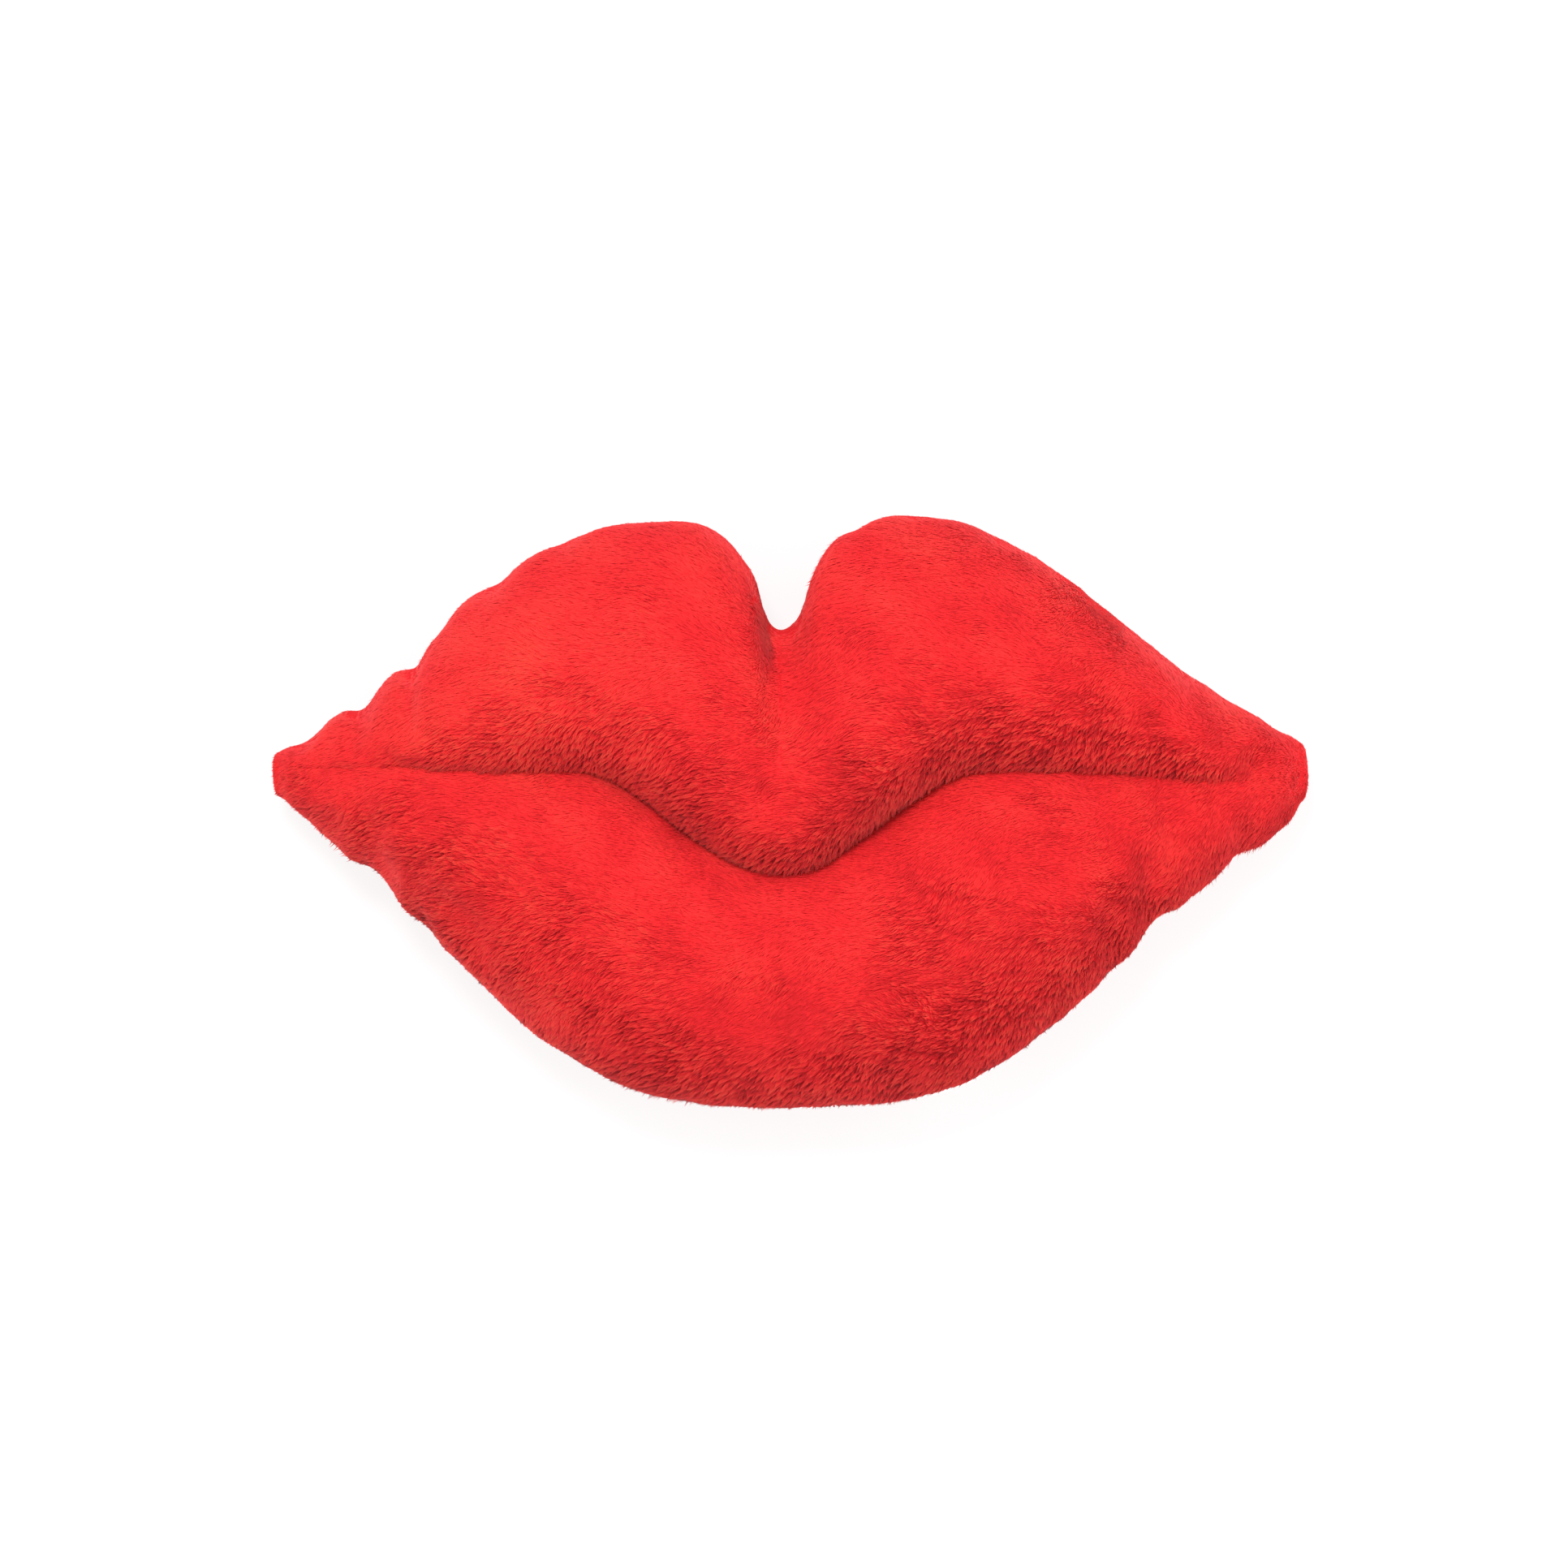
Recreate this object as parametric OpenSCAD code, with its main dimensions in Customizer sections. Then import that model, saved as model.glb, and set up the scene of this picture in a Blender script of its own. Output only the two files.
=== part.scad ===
// Plush cushion in the shape of a pair of lips, lying on its back.
// X runs from corner to corner of the mouth, Y from the lower to the upper lip, Z out of the front.
// The origin is on the surface that the cushion lies on, under the middle of its outline.

/* [Outline] */
// Width over the two corners of the mouth
cushion_w = 500; // [440:5:560]
// Height of the upper lip's two peaks above the corners
peak_h = 123; // [105:1:140]
// Distance between the two peaks
peak_spacing = 114; // [95:1:135]
// Depth of the notch between the peaks
notch_depth = 55; // [40:1:65]
// Drop of the lower lip's edge below the corners
lower_h = 163; // [140:1:185]
// Height of each lip at its blunt corner
corner_h = 9; // [7:0.5:12]

/* [Mouth line] */
// Drop of the mouth line in the middle
mouth_dip = 51; // [38:1:62]
// Width over which the mouth line dips
mouth_dip_w = 200; // [160:5:240]
// How far the sides of the dip stand towards the left corner
mouth_slant = 6; // [0:0.5:8]
// How far the mouth line sinks before the right corner
right_droop = 5; // [0:0.5:6]

/* [Crease] */
// Depth of the crease along the mouth in the middle of the cushion
crease_depth = 33; // [26:1:38]
// How far the crease reaches into the upper lip
upper_crease_reach = 24; // [18:1:32]
// How far the crease reaches into the lower lip
lower_crease_reach = 42; // [32:1:52]

/* [Stuffing] */
// Height that the wide middle swells to in front of its seams, without the crease
front_loft = 78; // [70:1:88]
// Height that the wide middle swells to behind its seams
back_loft = 50; // [42:1:60]
// Width of a lip where the cushion is two thirds as thick as in a wide place
loft_reach = 60; // [50:1:75]
// How far the weight presses the back flat where it rests
rest_press = 2.5; // [1:0.5:5]
// Height of the seams at the corners above the surface
corner_seam_z = 24; // [18:1:30]

/* [Fabric] */
// Thickness of the plush with its pile
plush_t = 4; // [3:0.25:5]
// Thickness of the knitted backing in a turned-in edge
backing_t = 1.2; // [0.8:0.1:1.5]
// How much a turned-in edge thins out towards its end
edge_taper = 0.15; // [0.1:0.05:0.3]
// Width of the turned-in edges
seam_allowance = 8; // [5:0.5:11]
// Depth of the groove along the edge seam
groove_depth = 1.6; // [1.2:0.1:2]
// Half the height of the groove along the edge seam
groove_rise = 1.6; // [1.2:0.1:2]

/* [Thread] */
// Diameter of the sewing thread
thread_d = 0.8; // [0.5:0.1:1]
// Distance of the edge stitches from the inside of the plush
stitch_inset = 1.5; // [1.2:0.1:2.5]

/* [Closing] */
// Width of the opening that the cushion is turned and stuffed through
opening_w = 90; // [60:5:120]
// Distance between the rungs of the hand-sewn closing stitch
rung_pitch = 6; // [4:0.5:9]

/* [Label] */
// Width of the care label
label_w = 22; // [15:1:30]
// Length of the care label from the seam
label_len = 28; // [20:1:34]
// Thickness of the folded care label
label_t = 0.6; // [0.4:0.1:1]
// Place of the label's middle along X
label_x = 80; // [72:1:95]

/* [Fits] */
// Clearance round the stuffing, under the label and beside the thread
soft_gap = 0.4; // [0.3:0.05:0.6]
// Clearance between the panels where they are sewn together
seam_gap = 0.15; // [0.1:0.05:0.3]

/* [Hidden] */

half_w = cushion_w / 2;
corner_y = (lower_h - peak_h) / 2;
peak = [peak_spacing / 2, corner_y + peak_h];
notch = [0, peak.y - notch_depth];
bottom = [0, corner_y - lower_h];

// Stations across half of the cushion, closer together near the notch.
half_stations = 24;
station_crowding = 1.2;
curve_steps = 60;
arch_steps = 10;
// Below 1 these make the swelling flatter in the middle and steeper at the edge.
front_power = 0.5;
back_power = 0.6;
// How quickly the crease gets shallower towards the corners.
crease_fade = 2;
// Below 1 the lip bulges over the crease.
upper_crease_bulge = 0.62;
lower_crease_bulge = 0.95;
// The middle of the dip stands still over this width while its sides slant.
still_w = 25;
thread_sides = 6;
label_steps = 10;

// The mouth seam and the seam behind it leave a slot for their threads, with room where
// the mouth line runs at a slant.
slot = thread_d / 2 + 2 * seam_gap;
// Narrowest cavity that is still drawn inside the corners.
least_hollow = 1.6;
// Narrowest lip that holds stuffing or edge stitches.
stuffed_w = 2 * plush_t + 10;
// The stuffing keeps clear of the plush this far to either side of each of its points.
stuffing_reach = 1.2;
// Most of a cavity that one turned-in edge may take up.
allowance_share = 0.28;

// ---- Curves of the outline -------------------------------------------------

function bezier(p, t) =
    pow(1 - t, 3) * p[0] + 3 * pow(1 - t, 2) * t * p[1]
    + 3 * (1 - t) * t * t * p[2] + pow(t, 3) * p[3];
function curve(p) = [for (i = [0:curve_steps]) bezier(p, i / curve_steps)];
function tail(list) = [for (i = [1:len(list) - 1]) list[i]];

// Running length at each point of a line of points.
function running(p, i = 0, sum = 0, out = []) =
    i == len(p) ? out
    : let (next = i == 0 ? 0 : sum + norm(p[i] - p[i - 1]))
      running(p, i + 1, next, concat(out, next));
// The point at a given length along a line of points.
function along(p, runs, length, i = 1) =
    i == len(p) - 1 || runs[i] >= length
    ? p[i - 1] + (p[i] - p[i - 1]) * (length - runs[i - 1]) / (runs[i] - runs[i - 1])
    : along(p, runs, length, i + 1);
// The stations of one half, from the middle out to the corner.
function stations(p) =
    let (runs = running(p), total = runs[len(p) - 1])
    [for (k = [0:half_stations]) along(p, runs, total * pow(k / half_stations, station_crowding))];

// Handles of the curves, as shares of the distances that they span.
upper_half = stations(concat(
    curve([notch, [peak.x * 0.17, notch.y], [peak.x * 0.26, peak.y], peak]),
    tail(curve([
        peak,
        peak + [(half_w - peak.x) * 0.39, 0],
        [half_w - (half_w - peak.x) * 0.44, corner_y + corner_h + peak_h * 0.33],
        [half_w, corner_y + corner_h],
    ]))
));
lower_half = stations(curve([
    bottom,
    [half_w * 0.44, bottom.y],
    [half_w * 0.42, corner_y - lower_h * 0.85],
    [half_w, corner_y - corner_h],
]));
mouth_half = stations([
    for (i = [0:2 * curve_steps])
        let (x = half_w * i / (2 * curve_steps))
        [x, corner_y - (x < mouth_dip_w / 2 ? mouth_dip * pow(cos(180 * x / mouth_dip_w), 2) : 0)]
]);

// A half curve's point at station k, which runs from -half_stations to half_stations
// and may lie between two whole stations.
function both_sides(half, k) =
    let (i = min(floor(abs(k)), half_stations - 1), p = half[i] + (half[i + 1] - half[i]) * (abs(k) - i))
    [sign(k) * p.x, p.y];
// 0 before start, 1 past end and smooth between them.
function fade(x, start, end) =
    let (t = min(max((x - start) / (end - start), 0), 1)) t * t * (3 - 2 * t);
function mouth_at(k) =
    let (p = both_sides(mouth_half, k), still = exp(-pow(p.x / still_w, 2)) * 2 / 3)
    p - [
        mouth_slant * (1 - still) * (1 - fade(abs(p.x), half_w * 0.44, half_w * 0.76)),
        right_droop * (fade(p.x, half_w * 0.6, half_w * 0.82) - fade(p.x, half_w * 0.86, half_w))
    ];
function edge_at(lip, k) = both_sides(lip > 0 ? upper_half : lower_half, k);
// The station at which the lower edge has a given x.
function lower_station(x) =
    let (
        i = [for (j = [1:half_stations]) if (lower_half[j].x >= abs(x)) j][0],
        from = lower_half[i - 1].x,
        to = lower_half[i].x
    )
    sign(x) * (i - 1 + (abs(x) - from) / (to - from));

// ---- Sizes of the cross-section at a station -------------------------------

// lip is 1 for the upper lip and -1 for the lower one.
function lip_w(lip, k) = norm(edge_at(lip, k) - mouth_at(k));
// How much of its full height the cushion swells to at a station, from 0 to 1.
function plain_w(lip, k) = norm(edge_at(lip, k) - both_sides(mouth_half, k));
function mean_w(k) = (plain_w(1, k) + plain_w(-1, k)) / 2;
function swell(k) = 1 - exp(-mean_w(k) / loft_reach);
function front_h(k) = front_loft * swell(k);
function back_h(k) = back_loft * swell(k);
function crease(k) = crease_depth * pow(mean_w(k) / mean_w(0), crease_fade);
// The edge seam lies in a surface that sinks from the middle towards the corners.
middle_seam_z = back_h(0) - rest_press;
function seam_z(k) =
    corner_seam_z
    + (middle_seam_z - corner_seam_z) * (swell(k) - swell(half_stations))
      / (swell(0) - swell(half_stations));
function hollow_w(lip, k) = max(lip_w(lip, k) - slot - 2 * plush_t, least_hollow);
// How far the plush reaches in from the edge, and from the slot.
function wall(lip, k) = (lip_w(lip, k) - slot - hollow_w(lip, k)) / 2;
function allowance(lip, k) = min(seam_allowance, hollow_w(lip, k) * allowance_share);

// ---- Cross-sections, as points [distance from the mouth line, height] -------

// Distances from the mouth out to the edge, closer together at both ends.
function spaced(from, to) =
    [for (i = [0:arch_steps]) (from + to) / 2 - (to - from) / 2 * cos(180 * i / arch_steps)];
// 1 at the mouth and 0 at the edge.
function inwards(d, from, to) = max(sin(90 * (to - d) / (to - from)), 0);
function valley(lip, k, d) =
    let (
        reach = lip > 0 ? upper_crease_reach : lower_crease_reach,
        bulge = lip > 0 ? upper_crease_bulge : lower_crease_bulge
    )
    crease(k) * (1 - pow(max(1 - exp(-d / reach), 0), bulge));

// A front panel's outside and inside.
function front_outside(lip, k) =
    let (w = lip_w(lip, k), base = seam_z(k) + seam_gap + groove_rise)
    [for (d = spaced(slot, w))
        let (inner = inwards(d, slot, w))
        [d, base + (front_h(k) - groove_rise) * pow(inner, front_power)
            - valley(lip, k, d - slot) * inner]];
function front_inside(lip, k) =
    let (
        t = wall(lip, k),
        w = lip_w(lip, k) - t,
        base = seam_z(k) + seam_gap + backing_t,
        rise = max(front_h(k) - plush_t - backing_t, least_hollow)
    )
    [for (d = spaced(slot + t, w))
        let (inner = inwards(d, slot + t, w))
        [d, base + rise * pow(inner, front_power) - valley(lip, k, d - slot - t) * inner]];
// Both edges of a front panel are turned in, the one at the mouth downwards.
function front_section(lip, k) =
    let (
        w = lip_w(lip, k),
        z = seam_z(k) + seam_gap,
        t = wall(lip, k),
        flap = allowance(lip, k),
        notch_in = min(groove_depth, t * 0.6),
        inside = front_inside(lip, k),
        top = inside[0][1]
    )
    concat(
        front_outside(lip, k),
        [[w - notch_in, z + groove_rise], [w - notch_in, z]],
        [[w - t - flap, z + edge_taper], [w - t - flap, z + backing_t]],
        reversed(inside),
        [[slot + backing_t, top], [slot + backing_t - edge_taper, top - flap], [slot, top - flap]]
    );

// A back panel's outside, from the seam behind the mouth out to the edge. With proud it
// lies that far outside the panel.
function back_outside(lip, k, proud = 0) =
    let (w = lip_w(lip, k) + proud, base = seam_z(k) - groove_rise - proud)
    [for (d = spaced(slot, w))
        [d, max(base - (back_h(k) - groove_rise) * pow(inwards(d, slot, w), back_power), 0)]];
function back_inside(lip, k) =
    let (
        w = lip_w(lip, k) - wall(lip, k),
        base = seam_z(k) - backing_t,
        rise = max(back_h(k) - plush_t - backing_t, least_hollow),
        lowest = min(plush_t, base - backing_t)
    )
    [for (d = spaced(slot, w))
        [d, max(base - rise * pow(inwards(d, slot, w), back_power), lowest)]];
function back_section(lip, k) =
    let (
        w = lip_w(lip, k),
        z = seam_z(k),
        t = wall(lip, k),
        flap = allowance(lip, k),
        notch_in = min(groove_depth, t * 0.6)
    )
    concat(
        back_outside(lip, k),
        [[w - notch_in, z - groove_rise], [w - notch_in, z]],
        [[w - t - flap, z - edge_taper], [w - t - flap, z - backing_t]],
        reversed(back_inside(lip, k))
    );

function filling_section(lip, k) =
    let (
        to = lip_w(lip, k) - wall(lip, k) - allowance(lip, k) - soft_gap,
        roof = front_inside(lip, k),
        floor_line = back_inside(lip, k),
        reach = concat(slot + backing_t + soft_gap, spaced(slot + wall(lip, k) + soft_gap, to))
    )
    concat(
        [for (d = reach) [d, min(heights_round(roof, d)) - soft_gap]],
        reversed([for (d = reach) [d, max(heights_round(floor_line, d)) + soft_gap]])
    );
function heights_round(line, d) =
    [for (aside = [-1:1]) height_on(line, d + aside * stuffing_reach)];
// Height of a line of points at distance d.
function height_on(line, d, i = 1) =
    d < line[0][0] ? line[0][1]
    : i == len(line) - 1 || line[i][0] >= d
    ? line[i - 1][1] + (line[i][1] - line[i - 1][1]) * (d - line[i - 1][0]) / (line[i][0] - line[i - 1][0])
    : height_on(line, d, i + 1);

// ---- From cross-sections to solids -----------------------------------------

// A point of a cross-section, placed in the cushion at station k.
function placed(lip, k, q) =
    let (m = mouth_at(k), out = (edge_at(lip, k) - m) / lip_w(lip, k))
    [m.x + out.x * q[0], m.y + out.y * q[0], q[1]];
function section_at(lip, k, points) = [for (q = points) placed(lip, k, q)];

// A closed solid through a row of closed cross-sections with equal numbers of points.
// Each face between two sections is split along one diagonal. Solids that lie against
// each other are split along opposite ones, so that their triangles are parallel.
// A strip's cross-section runs along one side and back along the other.
module loft(sections, inner = false, strip = false) {
    n = len(sections[0]);
    rows = len(sections);
    cap = strip
        ? [for (j = [0:n / 2 - 2]) each [[j, j + 1, n - 1 - j], [j + 1, n - 2 - j, n - 1 - j]]]
        : [[for (j = [0:n - 1]) j]];
    polyhedron(
        points = [for (s = sections) each s],
        faces = concat(
            cap,
            [for (i = [0:rows - 2], j = [0:n - 1])
                let (a = i * n + j, b = i * n + (j + 1) % n)
                each inner
                    ? [[a, a + n, b + n], [b, a, b + n]]
                    : [[a, a + n, b], [b, a + n, b + n]]],
            [for (f = cap) [for (j = reversed(f)) (rows - 1) * n + j]]
        )
    );
}

function reversed(list) = [for (i = [len(list) - 1:-1:0]) list[i]];
// Stations from left to right or from right to left, whichever makes the faces of a loft
// through them point outwards.
function in_turn(way, stations) = way > 0 ? stations : reversed(stations);
all_stations = [for (k = [-half_stations:half_stations]) k];
function stuffed_stations(lip) = [for (k = all_stations) if (lip_w(lip, k) > stuffed_w) k];

module front_panel(lip) {
    loft([for (k = in_turn(-lip, all_stations)) section_at(lip, k, front_section(lip, k))]);
}

module filling(lip) {
    loft(
        [for (k = in_turn(-lip, stuffed_stations(lip))) section_at(lip, k, filling_section(lip, k))],
        inner = true
    );
}

module back_panel(lip) {
    loft([for (k = in_turn(lip, all_stations)) section_at(lip, k, back_section(lip, k))]);
}

// ---- Thread ----------------------------------------------------------------

// A tube through points that run mostly along X, with upright rings.
module thread(points) {
    r = thread_d / 2;
    last = len(points) - 1;
    loft([
        for (i = [0:last])
            let (
                run = points[min(i + 1, last)] - points[max(i - 1, 0)],
                side = [-run.y, run.x, 0] / norm([run.x, run.y])
            )
            [for (j = [0:thread_sides - 1])
                let (a = 360 * j / thread_sides)
                points[i] + r * cos(a) * side + [0, 0, r * sin(a)]]
    ]);
}

// Stitch line beside the edge seam; side is 1 on top of the turned-in edges and -1 below them.
function edge_stitch(lip, k, side) =
    placed(lip, k, [
        lip_w(lip, k) - wall(lip, k) - stitch_inset,
        seam_z(k) + side * (backing_t + thread_d / 2 + seam_gap) + max(side, 0) * seam_gap
    ]);
function beside_opening(side) =
    [for (k = stuffed_stations(-1)) if (side * edge_at(-1, k).x > opening_w / 2) k];

module edge_thread(side) {
    thread([for (k = stuffed_stations(1)) edge_stitch(1, k, side)]);
    for (half = [-1, 1])
        thread([for (k = beside_opening(half)) edge_stitch(-1, k, side)]);
}

// A thread in the slot under the mouth line, at a height for each station.
module slot_thread(heights) {
    thread([for (k = all_stations)
        let (m = mouth_at(k)) [m.x, m.y, heights[k + half_stations]]]);
}
// The mouth seam's stitches, at a depth under the outside of the plush.
module mouth_thread(depth) {
    slot_thread([for (k = all_stations)
        seam_z(k) + seam_gap + front_h(k) - crease(k) - min(depth, front_h(k) / 2)]);
}
// The stitches of the seam behind the mouth, in the middle of the plush.
module back_thread() {
    slot_thread([for (k = all_stations)
        (back_outside(1, k)[0][1] + back_inside(1, k)[0][1]) / 2]);
}

module closing_rungs() {
    rungs = floor(opening_w / rung_pitch);
    for (i = [0:rungs]) {
        k = lower_station((i - rungs / 2) * rung_pitch);
        inset = groove_depth - thread_d / 2 - seam_gap;
        translate(placed(-1, k, [lip_w(-1, k) - inset, seam_z(k) - groove_rise]))
            cylinder(h = 2 * groove_rise + seam_gap, d = thread_d, $fn = 24);
    }
}

// ---- Label -----------------------------------------------------------------

// The label hugs the outside of the back from the edge seam downwards.
function label_section(k) =
    let (
        under = reversed(back_outside(-1, k, soft_gap)),
        outer = reversed(back_outside(-1, k, soft_gap + label_t)),
        lengths = [for (i = [0:label_steps]) label_len * i / label_steps]
    )
    section_at(-1, k, concat(
        [for (length = lengths) along(outer, running(outer), length)],
        [for (length = reversed(lengths)) along(under, running(under), length)]
    ));

module label() {
    loft(
        [for (i = [0:label_steps])
            label_section(lower_station(label_x + label_w * (i / label_steps - 0.5)))],
        inner = true,
        strip = true
    );
}

// ---- Pieces ----------------------------------------------------------------

module upper_front_panel() { color([0.93, 0.13, 0.16]) front_panel(1); }
module lower_front_panel() { color([0.93, 0.13, 0.16]) front_panel(-1); }
module upper_back_panel() { color([0.85, 0.11, 0.14]) back_panel(1); }
module lower_back_panel() { color([0.85, 0.11, 0.14]) back_panel(-1); }
module upper_lip_filling() { color([0.95, 0.95, 0.93]) filling(1); }
module lower_lip_filling() { color([0.95, 0.95, 0.93]) filling(-1); }
module edge_seam_needle_thread() { color([0.75, 0.08, 0.1]) edge_thread(1); }
module edge_seam_bobbin_thread() { color([0.75, 0.08, 0.1]) edge_thread(-1); }
module mouth_seam_needle_thread() { color([0.75, 0.08, 0.1]) mouth_thread(plush_t / 3); }
module mouth_seam_bobbin_thread() { color([0.75, 0.08, 0.1]) mouth_thread(plush_t * 0.8); }
module back_seam_thread() { color([0.75, 0.08, 0.1]) back_thread(); }
module closing_thread() { color([0.75, 0.08, 0.1]) closing_rungs(); }
module care_label() { color([0.96, 0.96, 0.95]) label(); }

upper_front_panel();
lower_front_panel();
upper_back_panel();
lower_back_panel();
upper_lip_filling();
lower_lip_filling();
edge_seam_needle_thread();
edge_seam_bobbin_thread();
mouth_seam_needle_thread();
mouth_seam_bobbin_thread();
back_seam_thread();
closing_thread();
care_label();
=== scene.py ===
"""A stuffed plush cushion in the shape of a pair of lips, lying on its back.

X runs from corner to corner of the mouth, Y from the lower to the upper lip, Z out of the
front. Shapes are worked out in millimetres and turned into metres when a mesh is made.
"""

import math

import bpy
import numpy as np
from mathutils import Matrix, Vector


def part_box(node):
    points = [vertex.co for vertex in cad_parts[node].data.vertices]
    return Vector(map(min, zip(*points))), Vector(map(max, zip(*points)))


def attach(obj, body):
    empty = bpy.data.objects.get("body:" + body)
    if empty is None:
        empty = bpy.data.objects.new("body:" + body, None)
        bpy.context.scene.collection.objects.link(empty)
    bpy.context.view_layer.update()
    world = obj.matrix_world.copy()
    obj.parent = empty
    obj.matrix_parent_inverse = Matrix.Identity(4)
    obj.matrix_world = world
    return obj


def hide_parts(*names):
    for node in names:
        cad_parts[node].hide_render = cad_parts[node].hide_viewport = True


bl_info = {
    "name": "Plush Lips Cushion",
    "version": (1, 0, 0),
    "blender": (4, 5, 0),
    "location": "View3D > Sidebar > Lips Cushion",
    "description": "Makes a stuffed plush cushion in the shape of a pair of lips",
    "category": "Object",
}

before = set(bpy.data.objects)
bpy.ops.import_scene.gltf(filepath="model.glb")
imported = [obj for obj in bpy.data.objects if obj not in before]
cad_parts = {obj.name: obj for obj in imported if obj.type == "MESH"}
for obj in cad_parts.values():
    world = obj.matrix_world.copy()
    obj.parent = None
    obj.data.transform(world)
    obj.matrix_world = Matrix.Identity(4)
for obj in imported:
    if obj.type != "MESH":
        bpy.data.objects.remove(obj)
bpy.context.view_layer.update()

MM = 0.001
UPPER, LOWER = 1, -1
LIP_NAMES = {UPPER: "upper", LOWER: "lower"}

# How finely the covers are drawn.
HALF_STATIONS = 60
ARCH_STEPS = 24
STATION_CROWDING = 1.2
CURVE_STEPS = 120

# The blunt tips at the corners of the mouth: how far they are set back, how far their rings
# reach out and at which shares of that, the least size of a ring, and the one that closes it.
TIP_SETBACK = 3
TIP_REACH = 3.5
TIP_SHARES = (0.4, 0.75, 1)
TIP_BLUNT = 0.4
TIP_CAP_SIZE, TIP_CAP_REACH = 0.02, 3.7
TIP_RINGS = len(TIP_SHARES) + 1
# The rows that the seams are sewn through, which end short of the tips.
SEWN_ROWS = slice(TIP_RINGS + 4, -TIP_RINGS - 4)
# Each ring starts this far from the mouth seam.
RING_START = 0.03
# The pile is pressed together by this much where the cushion rests on it.
PRESSED_PILE = 0.4

# The swelling of the cover across a lip, and how the crease of the mouth fades to the
# corners, less so on the right. Each lip leaves the crease in its own way: reach in
# millimetres, and a power that is below 1 where it bulges over the mouth.
FRONT_POWER = 0.5
BACK_POWER = 0.6
CREASE_FADE = 1.5
RIGHT_CREASE = 0.8
CREASE_END = (222, 245)
CREASE_SIDES = {UPPER: (24, 0.62), LOWER: (42, 0.95)}

# How the mouth line departs from its plain cut. Each pair is where something fades in along
# X: the corners, the droop on the right, and its end, where a share of it is taken back. The
# slant is weaker near the middle, and the left corner rises.
CORNER_FADE = (110, 190)
DROOP_FADE = (150, 205)
DROOP_END = (215, 245)
DROOP_BACK = 0.3
SLANT_GAP = 25
LEFT_RISE = 1.5
# The notch stands to one side by the first number, over a reach of the second.
NOTCH_SHIFT, NOTCH_REACH = 4.5, 24

# Where the gathered edge of each lip departs from its smooth cut: place along X, move
# along Y and half the width that it spreads over, in millimetres.
EDGE_GATHERS = {
    UPPER: (
        (-234, -4, 13), (-206, -6.5, 9), (-192, 1.5, 6), (-180, -6, 8), (-155, 6, 20),
        (-128, 3, 22), (-60, -2.2, 45), (-13, 3, 9), (-8, -3, 7), (8, -3, 7), (21, 6, 14),
        (42, 1.5, 22), (130, -2.3, 60), (200, 1, 14), (225, 3.3, 34), (248, 4, 12),
    ),
    LOWER: (
        (-250, -4, 8), (-199, 6, 15), (-176, 2.5, 11), (-128, -2, 26),
        (156, 2, 12), (175, 6, 16), (203, -2, 14), (232, -8, 20), (247, -7, 14),
    ),
}
# Where the pile stands up more, or lies smoother where it is negative, which also changes its
# painted sheen and root shade, and where its tips get more painted sheen: place X, Y, reach
# along X and Y, and share.
RUFFLED_SPOTS = (
    (0, -82, 45, 30, -0.5), (75, -90, 40, 26, 0.3), (160, 28, 55, 15, 0.34),
    (95, 42, 30, 22, 0.15), (-140, -80, 45, 25, 0.15), (238, 14, 24, 18, -0.45),
    (195, -12, 40, 18, -0.45), (-215, 5, 22, 14, -0.3), (185, 52, 35, 14, -0.3),
    (5, -8, 32, 10, -0.18),
)
# Painted sheen: spots where the tips of the pile are painted paler, as where its nap catches
# the light.
SHEEN_SPOTS = ((-125, 52, 60, 35, 0.34), (-135, -75, 60, 30, 0.2))
# Soft rises and dents of the stuffing in front: place X, Y, height, length and width of
# the spot and the turn of its length from X in degrees.
FRONT_SPOTS = (
    (-4, 96, -3.0, 22, 15, 90), (-156, -44, -3.4, 26, 9, -28), (-160, -37, 1.8, 30, 10, -28),
    (49, -101, 2.0, 22, 15, 20), (70, -92, -1.8, 20, 12, 60), (127, -88, 2.2, 26, 13, 35),
    (112, -78, -2.0, 24, 10, 35), (-60, -96, 1.6, 44, 20, -15), (-20, -88, -1.6, 40, 16, 10),
    (-206, 30, -2.0, 20, 9, 80), (-190, 8, 1.2, 24, 10, 20), (205, -6, 1.6, 34, 14, 20),
    (190, 34, -1.4, 36, 10, -30),
)


# ---- Settings that a user would change ----


def number(name, description, default, low, high, unit="NONE"):
    return bpy.props.FloatProperty(
        name=name, description=description, default=default, min=low, max=high, unit=unit
    )


def length(name, description, default, low, high):
    return number(name, description, default, low, high, "LENGTH")


def colour(name, description, default):
    return bpy.props.FloatVectorProperty(
        name=name, description=description, default=default, min=0, max=1, size=3,
        subtype="COLOR",
    )


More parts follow.
